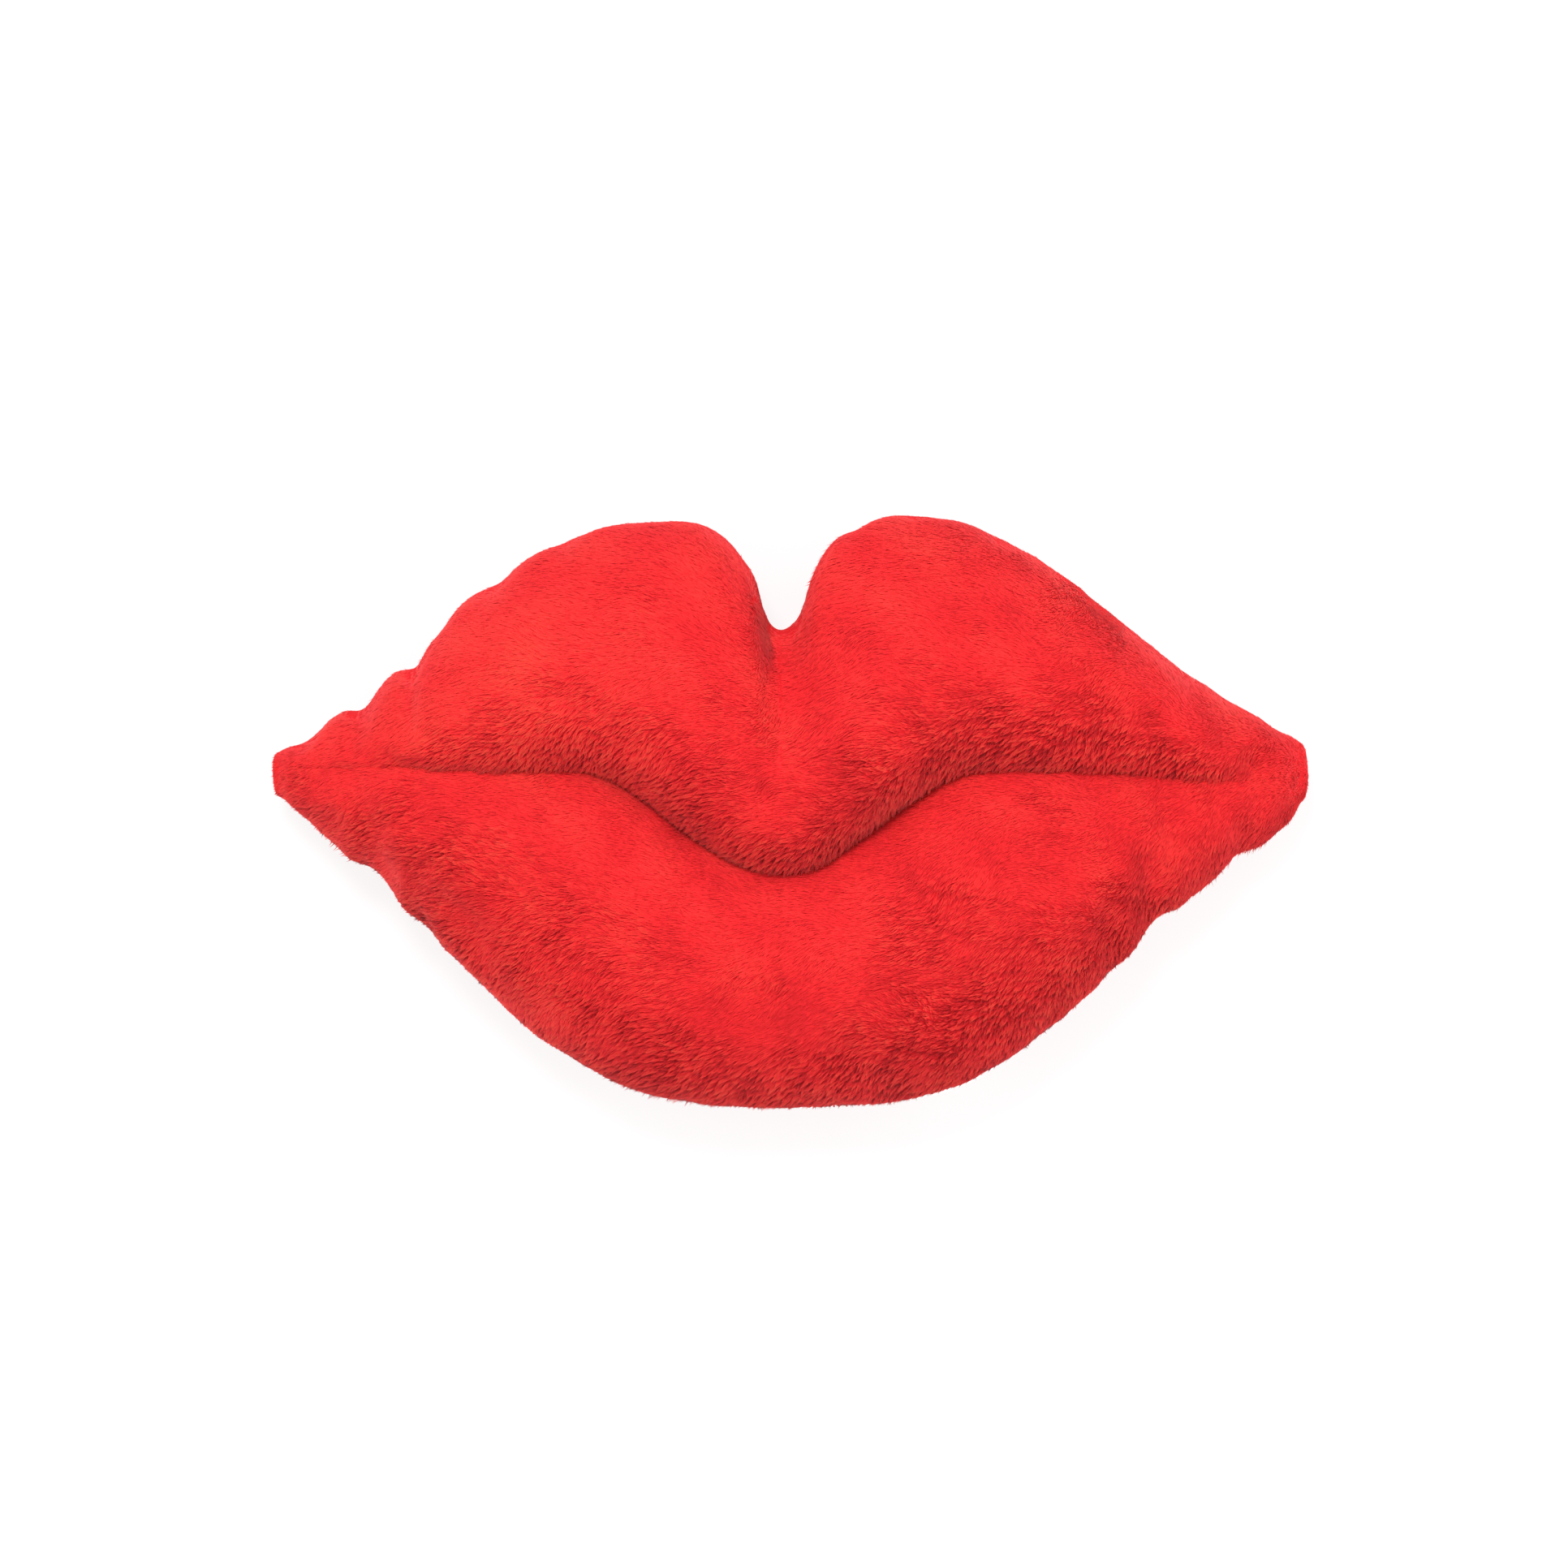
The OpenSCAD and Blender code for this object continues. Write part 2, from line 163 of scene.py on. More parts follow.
class CushionShape(bpy.types.PropertyGroup):
    cushion_w: length("Width", "Over the two corners of the mouth", 0.5, 0.44, 0.56)
    peak_h: length("Peak height", "Upper lip's peaks above the corners", 0.123, 0.105, 0.14)
    peak_spacing: length("Peak spacing", "Between the two peaks", 0.114, 0.095, 0.135)
    notch_depth: length("Notch depth", "Notch between the peaks", 0.055, 0.04, 0.065)
    lower_h: length("Lower drop", "Lower lip's edge below the corners", 0.163, 0.14, 0.185)
    corner_h: length("Corner height", "Each lip at its blunt corner", 0.009, 0.007, 0.012)
    mouth_dip: length("Mouth dip", "Drop of the mouth line in the middle", 0.048, 0.038, 0.062)
    mouth_dip_w: length("Dip width", "Width over which the mouth dips", 0.2, 0.16, 0.24)
    mouth_slant: length("Mouth slant", "Sides of the dip towards the left", 0.006, 0, 0.008)
    right_droop: length("Right droop", "Mouth line before the right corner", 0.005, 0, 0.006)
    crease_depth: length("Crease depth", "Mouth line under the swelling", 0.033, 0.026, 0.038)
    front_loft: length("Front loft", "Swelling of the middle in front", 0.078, 0.07, 0.088)
    back_loft: length("Back loft", "Swelling of the wide middle behind", 0.05, 0.04, 0.06)
    loft_reach: length("Loft reach", "Width at two thirds of the loft", 0.06, 0.05, 0.075)
    rest_press: length("Rest press", "How far the back is pressed flat", 0.0025, 0.001, 0.005)
    corner_seam_z: length("Corner seams", "Height over the table", 0.024, 0.018, 0.03)


class CushionFabric(bpy.types.PropertyGroup):
    pile_depth: length("Pile depth", "How deep the lying pile is", 0.0022, 0.001, 0.004)
    knit_t: length("Knit thickness", "Fabric under the pile", 0.0022, 0.001, 0.004)
    tuft_l: length("Tuft length", "Length of one tuft of pile", 0.0041, 0.003, 0.012)
    tuft_w: length("Tuft width", "Width of one tuft at its root", 0.0007, 0.0003, 0.002)
    lean: number(
        "Lean", "Angle of the tufts from the fabric", math.radians(24), 0.1, 1.5, "ROTATION"
    )
    front_density: number("Front density", "Tufts in a square millimetre", 2.5, 0.1, 4)
    back_density: number("Back density", "Tufts in a square millimetre", 0.85, 0.1, 4)
    lock_w: length("Lock width", "Locks that the pile gathers in", 0.0026, 0.001, 0.01)
    seed: bpy.props.IntProperty(
        name="Seed", description="Changes the lie of every tuft", default=7, min=0
    )


class CushionColours(bpy.types.PropertyGroup):
    plush: colour("Plush", "The pile in full light", (0.93, 0.021, 0.027))
    # The tips' colour is a painted sheen: the paler, orange cast of fibres that catch the
    # light at a grazing angle.
    tip_sheen: colour("Worn tips", "Tips of the pile", (0.94, 0.085, 0.05))
    # The roots' colour is painted shade: the dark down between the tufts, where the pile
    # shades itself.
    root_shade: colour("Pile roots", "Down between the tufts", (0.35, 0.005, 0.008))
    backing: colour("Knitted backing", "Inner side of the fabric", (0.7, 0.03, 0.04))
    thread: colour("Thread", "Sewing thread", (0.5, 0.012, 0.018))
    label: colour("Label", "Satin of the care label", (0.86, 0.86, 0.83))
    fibre: colour("Fibre", "Polyester stuffing", (0.86, 0.86, 0.84))


class CushionStage(bpy.types.PropertyGroup):
    key_power: number("Key light", "Soft light above the upper lip", 21, 0, 1000, "POWER")
    fill_strength: number("Fill", "Light from all round", 0.95, 0, 10)
    camera_height: length("Camera height", "Above the table", 2.134, 0.5, 5)
    camera_x: length("Camera X", "Sideways place of the camera", -0.0031, -0.5, 0.5)
    camera_y: length("Camera Y", "Place of the camera up the lips", 0.0133, -0.5, 0.5)


# ---- Noise made of waves ----


def waves(points, wavelength, seed, count=22):
    """Smooth noise of about unit size at points, from waves in random directions."""
    rng = np.random.default_rng(seed)
    points = np.asarray(points, float)
    turn = rng.normal(size=(count, points.shape[1]))
    turn /= np.linalg.norm(turn, axis=1, keepdims=True)
    turn *= (2 * np.pi / wavelength) * rng.uniform(0.6, 1.4, (count, 1))
    shift = rng.uniform(0, 2 * np.pi, count)
    total = np.zeros(len(points))
    for direction, phase in zip(turn, shift):
        total += np.cos(points @ direction + phase)
    return total * math.sqrt(2 / count)


def unit(vectors):
    return vectors / np.maximum(np.linalg.norm(vectors, axis=-1, keepdims=True), 1e-9)


def fade(x, start, end):
    """0 before start, 1 past end and smooth between them."""
    t = np.clip((x - start) / (end - start), 0, 1)
    return t * t * (3 - 2 * t)


# ---- The outline and the swelling of the lips ----


def bezier(a, b, c, d):
    t = np.linspace(0, 1, CURVE_STEPS + 1)[:, None]
    a, b, c, d = (np.array(p, float) for p in (a, b, c, d))
    return (1 - t) ** 3 * a + 3 * (1 - t) ** 2 * t * b + 3 * (1 - t) * t * t * c + t**3 * d


def runs_of(line):
    """The running length of a line at each of its points."""
    return np.concatenate([[0], np.cumsum(np.linalg.norm(np.diff(line, axis=0), axis=1))])


def at_runs(line, places):
    """The points of a line at the given running lengths."""
    runs = runs_of(line)
    return np.stack([np.interp(places, runs, values) for values in line.T], 1)


class Lips:
    """Where the seams and the covers of the two lips run, in millimetres."""

    def __init__(self, shape, fabric):
        vars(self).update({name: getattr(shape, name) / MM for name in shape.__annotations__})
        self.pile = fabric.pile_depth / MM
        self.lowest = self.pile - PRESSED_PILE
        half_w = self.cushion_w / 2
        self.corner_y = (self.lower_h - self.peak_h) / 2
        peak = (self.peak_spacing / 2, self.corner_y + self.peak_h)
        notch = (0, peak[1] - self.notch_depth)
        bottom = (0, self.corner_y - self.lower_h)
        reach = half_w - peak[0]
        corner = self.corner_y + self.corner_h
        self.edges = {
            UPPER: np.vstack([
                bezier(notch, (peak[0] * 0.17, notch[1]), (peak[0] * 0.26, peak[1]), peak),
                bezier(
                    peak,
                    (peak[0] + reach * 0.39, peak[1]),
                    (half_w - reach * 0.44, corner + self.peak_h * 0.33),
                    (half_w, corner),
                )[1:],
            ]),
            LOWER: bezier(
                bottom,
                (half_w * 0.44, bottom[1]),
                (half_w * 0.42, self.corner_y - self.lower_h * 0.85),
                (half_w, self.corner_y - self.corner_h),
            ),
        }
        x = np.linspace(0, half_w, 2 * CURVE_STEPS + 1)
        dip = self.mouth_dip * np.cos(np.pi * x / self.mouth_dip_w) ** 2
        self.mouth = np.stack(
            [x, self.corner_y - np.where(x < self.mouth_dip_w / 2, dip, 0)], 1
        )
        self.middle_w = self.mean_width(np.zeros(1))[0]
        self.middle_swell = self.swell(self.middle_w)
        self.corner_swell = self.swell(self.mean_width(np.ones(1))[0])
        self.seam_rise = (
            self.back_loft * self.middle_swell - self.rest_press - self.corner_seam_z
        )

    def both_sides(self, half, s):
        points = at_runs(half, np.abs(s) ** STATION_CROWDING * runs_of(half)[-1])
        points[:, 0] *= np.sign(s)
        return points

    def mouth_at(self, s):
        """The mouth seam, which slants a little from one side to the other."""
        p = self.both_sides(self.mouth, s)
        x = p[:, 0]
        inner = 1 - fade(np.abs(x), *CORNER_FADE)
        near_middle = np.exp(-((x / SLANT_GAP) ** 2)) * 2 / 3
        p[:, 0] -= self.mouth_slant * (1 - near_middle) * inner
        droop = fade(x, *DROOP_FADE) - DROOP_BACK * fade(x, *DROOP_END)
        p[:, 1] += LEFT_RISE * fade(-x, *CORNER_FADE) - self.right_droop * droop
        return p

    def edge_at(self, lip, s):
        """The edge seam with its gathers. The notch stands a little to one side."""
        p = self.both_sides(self.edges[lip], s)
        x = p[:, 0].copy()
        if lip == UPPER:
            p[:, 0] -= NOTCH_SHIFT * np.exp(-((x / NOTCH_REACH) ** 2))
        for place, move, half_width in EDGE_GATHERS[lip]:
            near = np.clip(np.abs(x - place) / half_width, 0, 1)
            p[:, 1] += move * np.cos(near * np.pi / 2) ** 2
        return p

    def mean_width(self, s):
        """Half the width across both lips at a station of the plain cut."""
        mouth = self.both_sides(self.mouth, s)
        return sum(
            np.linalg.norm(self.both_sides(self.edges[lip], s) - mouth, axis=1)
            for lip in LIP_NAMES
        ) / 2

    def swell(self, w):
        return 1 - np.exp(-w / self.loft_reach)

    def seam_z(self, s):
        rise = (self.swell(self.mean_width(s)) - self.corner_swell) / (
            self.middle_swell - self.corner_swell
        )
        return self.corner_seam_z + self.seam_rise * rise

    def rings(self, lip):
        """The fabric under the pile, as closed rings round the lip from one corner of the
        mouth to the other. Each starts at the mouth seam, runs over the front to the edge
        seam and comes back behind."""
        s = np.linspace(-1, 1, 2 * HALF_STATIONS + 1)
        mouth, edge = self.mouth_at(s), self.edge_at(lip, s)
        w = np.linalg.norm(edge - mouth, axis=1)[:, None]
        out = (edge - mouth) / w
        mean_w = self.mean_width(s)[:, None]
        z = self.seam_z(s)[:, None]
        start, end = RING_START, w
        a = np.linspace(0, np.pi, ARCH_STEPS + 1)[None, :]
        d = (start + end) / 2 - (end - start) / 2 * np.cos(a)
        inwards = np.sin(np.pi / 2 * (1 - (d - start) / (end - start))).clip(0)
        crease = self.crease_depth * (mean_w / self.middle_w) ** CREASE_FADE
        right = fade(mouth[:, :1], *CORNER_FADE) * (1 - fade(mouth[:, :1], *CREASE_END))
        crease *= 1 + RIGHT_CREASE * right
        reach, bulge = CREASE_SIDES[lip]
        valley = crease * (1 - (1 - np.exp(-(d - start) / reach)).clip(0) ** bulge)
        front = (self.front_loft * self.swell(mean_w) - self.pile) * inwards**FRONT_POWER
        back = (self.back_loft * self.swell(mean_w) - self.pile) * inwards**BACK_POWER
        top, below = z + front - valley * inwards, z - back
        d = np.concatenate([d, d[:, -2::-1]], 1)
        height = np.concatenate([top, below[:, -2::-1]], 1)
        rings = np.concatenate(
            [mouth[:, None, :] + out[:, None, :] * d[..., None], height[..., None]], 2
        )
        return self.with_tips(rings, mouth, z[:, 0])

    def with_tips(self, rings, mouth, z):
        """The rings with each end closed, blunt and rounded, at the corner of the mouth."""
        tips = {}
        for end, inner in ((0, 1), (-1, -2)):
            core = np.array([*mouth[end], z[end]])
            side = np.sign(core[0])
            rings[end] -= (side * TIP_SETBACK, 0, 0)
            rings[inner] -= (side * TIP_SETBACK / 2, 0, 0)
            core[0] -= side * TIP_SETBACK
            steps = [
                (TIP_BLUNT + (1 - TIP_BLUNT) * math.sqrt(1 - t * t), side * TIP_REACH * t)
                for t in TIP_SHARES
            ]
            steps.append((TIP_CAP_SIZE, side * TIP_CAP_REACH))
            tips[end] = [
                core + (rings[end] - core) * size + (out, 0, 0) for size, out in steps
            ]
        return np.concatenate([tips[0][::-1], rings, tips[-1]])


# ---- Meshes ----


def mesh_object(name, points, faces):
    """An object from points in millimetres and faces that all have as many corners."""
    mesh = bpy.data.meshes.new(name)
    faces = np.asarray(faces, np.int32)
    mesh.vertices.add(len(points))
    mesh.vertices.foreach_set("co", (np.asarray(points, np.float32) * MM).ravel())
    mesh.loops.add(faces.size)
    mesh.loops.foreach_set("vertex_index", faces.ravel())
    mesh.polygons.add(len(faces))
    starts = np.arange(0, faces.size, faces.shape[1], dtype=np.int32)
    mesh.polygons.foreach_set("loop_start", starts)
    mesh.polygons.foreach_set("use_smooth", np.ones(len(faces), bool))
    mesh.update(calc_edges=True)
    made = bpy.data.objects.new(name, mesh)
    bpy.context.scene.collection.objects.link(made)
    return made


def points_of(mesh):
    co = np.empty(len(mesh.vertices) * 3, np.float32)
    mesh.vertices.foreach_get("co", co)
    return co.reshape(-1, 3).astype(float) / MM


def move_points(mesh, points):
    mesh.vertices.foreach_set("co", (np.asarray(points, np.float32) * MM).ravel())
    mesh.update()


def select_only(piece):
    bpy.ops.object.select_all(action="DESELECT")
    piece.select_set(True)
    bpy.context.view_layer.objects.active = piece


def apply_all(piece):
    select_only(piece)
    for modifier in list(piece.modifiers):
        bpy.ops.object.modifier_apply(modifier=modifier.name)


def quads(grid, lip, tube=False):
    """Quads between the points of a grid, or round a tube, that face out of a lip whose
    rows run along +X and whose rings turn from the mouth over the front."""
    rows, ring = grid.shape[:2]
    i, j = np.mgrid[: rows - 1, : ring - (not tube)]
    a, b = i * ring + j, i * ring + (j + 1) % ring
    faces = np.stack([a, b, b + ring, a + ring], -1).reshape(-1, 4)
    return faces if lip == LOWER else faces[:, ::-1]


def grid_normals(grid, lip):
    """Outward normals at the points of a tube of rings."""
    ahead = np.gradient(grid, axis=0)
    round_ = np.gradient(grid, axis=1)
    return unit(np.cross(round_, ahead) * -lip)


def smoothed(grid, times):
    """A tube's values with the detail taken out. Its rims stay as they are."""
    for _ in range(times):
        for axis in (0, 1):
            rows = np.swapaxes(grid, 0, axis)
            inner = rows[1:-1] * 0.5 + (rows[:-2] + rows[2:]) * 0.25
            grid = np.swapaxes(np.concatenate([rows[:1], inner, rows[-1:]]), 0, axis)
    return grid


# ---- Stuffing the covers ----

# The stuffing is packed tight, so only a share of the trial's folds is left. What is left
# after smoothing isn't a fold.
TRIAL_FRAMES = 20
FOLD_SMOOTHING = 14
FOLD_SHARE = 0.4
LARGEST_FOLD = 1.6
# Lumps of the stuffing: height, wavelength and seed.
LUMPS = ((0.8, 70, 11), (0.35, 24, 21))
# The seams draw the fabric in by a depth, over a number of rows of the arch.
SEAM_DEPTH, SEAM_STEPS = 1.1, 0.9


def crumple(grid, lip):
    """How stuffing under pressure moves a sewn cover off its plain shape: the cover is
    a simulated cloth that is held at its seams. Only the folds are kept, because the
    swelling is already in the rings."""
    rows, ring = grid.shape[:2]
    cover = mesh_object("cover_trial", grid.reshape(-1, 3), quads(grid, lip, tube=True))
    sewn = cover.vertex_groups.new(name="sewn")
    index = np.arange(rows * ring).reshape(rows, ring)
    held = np.concatenate([
        index[:, 0], index[:, ARCH_STEPS], index[:, -1],
        index[: TIP_RINGS + 3].ravel(), index[-TIP_RINGS - 3 :].ravel(),
    ])
    sewn.add([int(i) for i in held], 1.0, "REPLACE")
    cloth = cover.modifiers.new("Stuffing", "CLOTH")
    settings = cloth.settings
    settings.quality = 6
    settings.mass = 0.2
    settings.use_pressure = True
    settings.uniform_pressure_force = 4
    settings.vertex_group_mass = "sewn"
    settings.shrink_min = -0.055
    settings.bending_stiffness = 0.08
    settings.effector_weights.gravity = 0
    cloth.collision_settings.use_collision = False
    scene = bpy.context.scene
    for number in range(1, TRIAL_FRAMES + 1):
        scene.frame_set(number)
    apply_all(cover)
    moved = points_of(cover.data).reshape(grid.shape) - grid
    scene.frame_set(1)
    bpy.data.objects.remove(cover)
    folds = (moved - smoothed(moved, FOLD_SMOOTHING)) * FOLD_SHARE
    size = np.linalg.norm(folds, axis=2, keepdims=True)
    return folds * np.minimum(1, LARGEST_FOLD / np.maximum(size, 1e-6))


def spot_heights(points):
    """Height of the rises and dents at points of the front."""
    total = np.zeros(points.shape[:-1])
    for x, y, height, long, wide, turn in FRONT_SPOTS:
        c, s = math.cos(math.radians(turn)), math.sin(math.radians(turn))
        dx, dy = points[..., 0] - x, points[..., 1] - y
        u, v = (dx * c + dy * s) / long, (dy * c - dx * s) / wide
        total += height * np.exp(-2 * (u * u + v * v))
    return total


def stuffed_grid(lips, lip):
    """The fabric of one lip as it lies, stuffed, sewn and pressed flat underneath."""
    grid = lips.rings(lip)
    rows, ring = grid.shape[:2]
    grid = grid + crumple(grid, lip)
    normals = grid_normals(grid, lip)
    j = np.arange(ring)
    front = np.sin(np.pi * np.clip(j / ARCH_STEPS, 0, 1)) ** 0.7
    front[j > ARCH_STEPS] = 0
    lift = spot_heights(grid) * front[None, :]
    body = np.sin(np.pi * (j % ARCH_STEPS) / ARCH_STEPS) ** 0.5
    lumps = sum(
        height * waves(grid.reshape(-1, 3), wavelength, seed + lip)
        for height, wavelength, seed in LUMPS
    ).reshape(rows, ring)
    width = np.ptp(grid[..., 1], axis=1)[:, None]
    lift = (lift + lumps * body[None, :]) * fade(width, 12, 60)
    grid = grid + normals * lift[..., None]
    drawn = np.exp(-((j - ARCH_STEPS) / SEAM_STEPS) ** 2)
    grid = grid - normals * (SEAM_DEPTH * drawn[None, :] * fade(width, 15, 40))[..., None]
    grid[..., 2] = np.maximum(grid[..., 2], lips.lowest)
    return grid


# ---- Pieces ----

# What the first operator works out, and the later ones build on.
made = {"grids": {}, "outsides": {}}


def make_cover(lips, lip, side, fabric):
    grid = made["grids"][lip]
    sheet = grid[:, : ARCH_STEPS + 1] if side == "front" else grid[:, ARCH_STEPS:]
    name = f"{LIP_NAMES[lip]}_{side}_cover"
    cover = mesh_object(name, sheet.reshape(-1, 3), quads(sheet, lip))
    finer = cover.modifiers.new("Finer", "SUBSURF")
    finer.levels = finer.render_levels = 1
    apply_all(cover)
    points = points_of(cover.data)
    points[:, 2] = np.maximum(points[:, 2], lips.lowest)
    move_points(cover.data, points)
    made["outsides"][lip, side] = outside_of(cover.data)
    thickness = cover.modifiers.new("Knit", "SOLIDIFY")
    thickness.thickness = fabric.knit_t
    thickness.offset = -1
    thickness.use_even_offset = True
    thickness.thickness_clamp = 1
    thickness.material_offset = 1
    thickness.material_offset_rim = 1
    cover.data.materials.append(plush_finish())
    cover.data.materials.append(backing_finish())
    apply_all(cover)
    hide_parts(f"{LIP_NAMES[lip]}_{side}_panel")
    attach(cover, "root")


def outside_of(mesh):
    """Triangles of a cover's outside, with the normals at their corners."""
    mesh.calc_loop_triangles()
    corners = np.empty(len(mesh.loop_triangles) * 3, np.int32)
    mesh.loop_triangles.foreach_get("vertices", corners)
    normals = np.empty(len(mesh.vertices) * 3, np.float32)
    mesh.vertex_normals.foreach_get("vector", normals)
    return points_of(mesh), normals.reshape(-1, 3).astype(float), corners.reshape(-1, 3)


# ---- Materials ----


class Signal:
    """A socket of a node, on which Python's own operators work."""

    def __init__(self, nodes, socket):
        self.nodes, self.socket = nodes, socket

    def maths(self, operation, a, b):
        return self.nodes.node("ShaderNodeMath", {0: a, 1: b}, operation=operation)

    def __add__(self, other):
        return self.maths("ADD", self, other)

    def __sub__(self, other):
        return self.maths("SUBTRACT", self, other)

    def __rsub__(self, other):
        return self.maths("SUBTRACT", other, self)

    def __mul__(self, other):
        return self.maths("MULTIPLY", self, other)

    __radd__ = __add__
    __rmul__ = __mul__


class Nodes:
    """The nodes of a material or of the world, and the one way in which they are added."""

    def __init__(self, owner, main):
        owner.use_nodes = True
        self.tree = owner.node_tree
        self.surface = self.tree.nodes[main]

    def node(self, kind, values=None, output=0, **settings):
        added = self.tree.nodes.new(kind)
        for name, value in settings.items():
            setattr(added, name, value)
        for socket, value in (values or {}).items():
            self.join(added.inputs[socket], value)
        return Signal(self, added.outputs[output])

    def join(self, socket, value):
        if isinstance(value, Signal):
            self.tree.links.new(value.socket, socket)
        else:
            socket.default_value = value

    def seen_by(self, ray):
        return self.node("ShaderNodeLightPath", output=f"Is {ray} Ray")

    def show(self, share, instead, output):
        """Show another surface instead of the main one, by a share."""
        own = Signal(self, self.surface.outputs[0])
        blend = self.node("ShaderNodeMixShader", {0: share, 1: own, 2: instead})
        self.join(self.tree.nodes[output].inputs[0], blend)


class Finish(Nodes):
    """One material with the few kinds of nodes that the finishes share."""

    def __init__(self, name, **constants):
        self.material = bpy.data.materials.new(name)
        super().__init__(self.material, "Principled BSDF")
        for socket, value in constants.items():
            self.set(socket.replace("_", " "), value)

    def set(self, socket, value):
        self.join(self.surface.inputs[socket], value)

    def places(self):
        return self.node("ShaderNodeTexCoord", output="Object")

    def noise(self, places, scale, detail=2, roughness=0.5):
        return self.node(
            "ShaderNodeTexNoise",
            {"Vector": places, "Scale": scale, "Detail": detail, "Roughness": roughness},
        )

    def wave(self, places, scale, distortion=0, direction="X"):
        return self.node(
            "ShaderNodeTexWave", {"Vector": places, "Scale": scale, "Distortion": distortion},
            bands_direction=direction,
        )

    def stretched(self, places, scale, turn=0.0):
        return self.node(
            "ShaderNodeMapping", {"Vector": places, "Scale": scale, "Rotation": (0, 0, turn)}
        )

    def mix(self, share, first, second):
        def full(c):
            return c if isinstance(c, Signal) else (*c, 1)

        return self.node(
            "ShaderNodeMix", {0: share, 6: full(first), 7: full(second)}, output=2,
            data_type="RGBA",
        )

    def bump(self, height, distance, strength=0.5):
        self.set("Normal", self.node(
            "ShaderNodeBump", {"Height": height, "Distance": distance, "Strength": strength}
        ))


def made_once(name, **constants):
    """A decorator: the function gives the material of that name, and its body adds the
    nodes when the material is first asked for."""

    def with_body(add_nodes):
        def finish():
            if name not in bpy.data.materials:
                add_nodes(Finish(name, **constants), bpy.context.scene.lips_colours)
            return bpy.data.materials[name]

        finish.__doc__ = add_nodes.__doc__
        return finish

    return with_body


@made_once("plush", Roughness=0.95, Specular_IOR_Level=0.1)
def plush_finish(f, colours):
    """The fabric under the pile, with the roots of the fibres."""
    at = f.places()
    fibres = f.noise(f.stretched(at, (150, 650, 400), 0.2), 1, 3, 0.7)
    cloudy = f.noise(at, 30, 2)
    # The patches run towards the painted shade down between the tufts.
    f.set("Base Color", f.mix(fibres * 0.7 + cloudy * 0.3, colours.root_shade, colours.plush))
    f.bump(fibres, 0.0008)


@made_once(
    "pile", Roughness=0.8, Specular_IOR_Level=0.15, Sheen_Weight=0.12, Sheen_Roughness=0.5
)
def pile_finish(f, colours):
    """The pile itself. Each tuft holds its tone, and runs from dark roots to pale tips."""
    tone = f.node("ShaderNodeAttribute", output="Fac", attribute_name="tone")
    cloudy = f.noise(f.places(), 26, 3, 0.6)
    # The body runs towards the painted shade down between the tufts.
    body = f.mix(
        f.node("ShaderNodeMapRange", {"Value": tone, 1: 0.0, 2: 0.7}), colours.root_shade,
        colours.plush,
    )
    # The tips are painted towards a sheen where the fibres catch the light.
    tips = f.node("ShaderNodeMapRange", {"Value": tone, 1: 0.6, 2: 1.15})
    f.set("Base Color", f.mix(tips * (cloudy * 0.9 + 0.3), body, colours.tip_sheen))


@made_once("knitted_backing", Roughness=0.9, Specular_IOR_Level=0.2)
def backing_finish(f, colours):
    """Knitted backing: rows of loops."""
    at = f.places()
    knit = f.wave(at, 160, 1.5) * f.wave(at, 110, 1.5, "Y")
    pale = tuple(0.5 + 0.5 * c for c in colours.backing)
    f.set("Base Color", f.mix(knit * 0.5, colours.backing, pale))
    f.bump(knit, 0.0004)


@made_once("sewing_thread", Roughness=0.55, Sheen_Weight=0.2)
def thread_finish(f, colours):
    """Sewing thread: two plies twisted together."""
    plies = f.wave(f.stretched(f.places(), (1, 1, 1), 0.6), 380, direction="DIAGONAL")
    light = tuple(min(1, c * 1.6 + 0.02) for c in colours.thread)
    f.set("Base Color", f.mix(plies, colours.thread, light))
    f.bump(plies, 0.0002)


@made_once("label_satin", Sheen_Weight=0.3)
def label_finish(f, colours):
    """Woven satin: fine threads across the ribbon."""
    at = f.places()
    weave = f.wave(at, 900, 0.6) * 0.6 + f.wave(at, 500, 0.6, "Y") * 0.4
    shade = tuple(c * 0.86 for c in colours.label)
    f.set("Base Color", f.mix(weave, shade, colours.label))
    f.set("Roughness", 0.34 + weave * 0.14)
    f.bump(weave, 0.0001, 0.3)


@made_once("polyester_fibre", Roughness=0.9, Sheen_Weight=0.3)
def fibre_finish(f, colours):
    """Crimped polyester fibre in soft clumps."""
    at = f.places()
    clumps = f.noise(at, 60, 4, 0.7)
    strands = f.noise(f.stretched(at, (900, 260, 500), 0.5), 1, 3)
    shade = tuple(c * 0.8 for c in colours.fibre)
    f.set("Base Color", f.mix(clumps * 0.6 + strands * 0.4, shade, colours.fibre))
    f.bump(clumps * 0.7 + strands * 0.3, 0.002)


class CUSHION_OT_covers(bpy.types.Operator):
    """Make the plush fabric of both lips, stuffed and sewn"""

    bl_idname = "cushion.covers"
    bl_label = "Make covers"

    def execute(self, context):
        shape, fabric = context.scene.lips_shape, context.scene.lips_fabric
        lips = Lips(shape, fabric)
        for lip in LIP_NAMES:
            made["grids"][lip] = stuffed_grid(lips, lip)
            for side in ("front", "back"):
                make_cover(lips, lip, side, fabric)
        return {"FINISHED"}


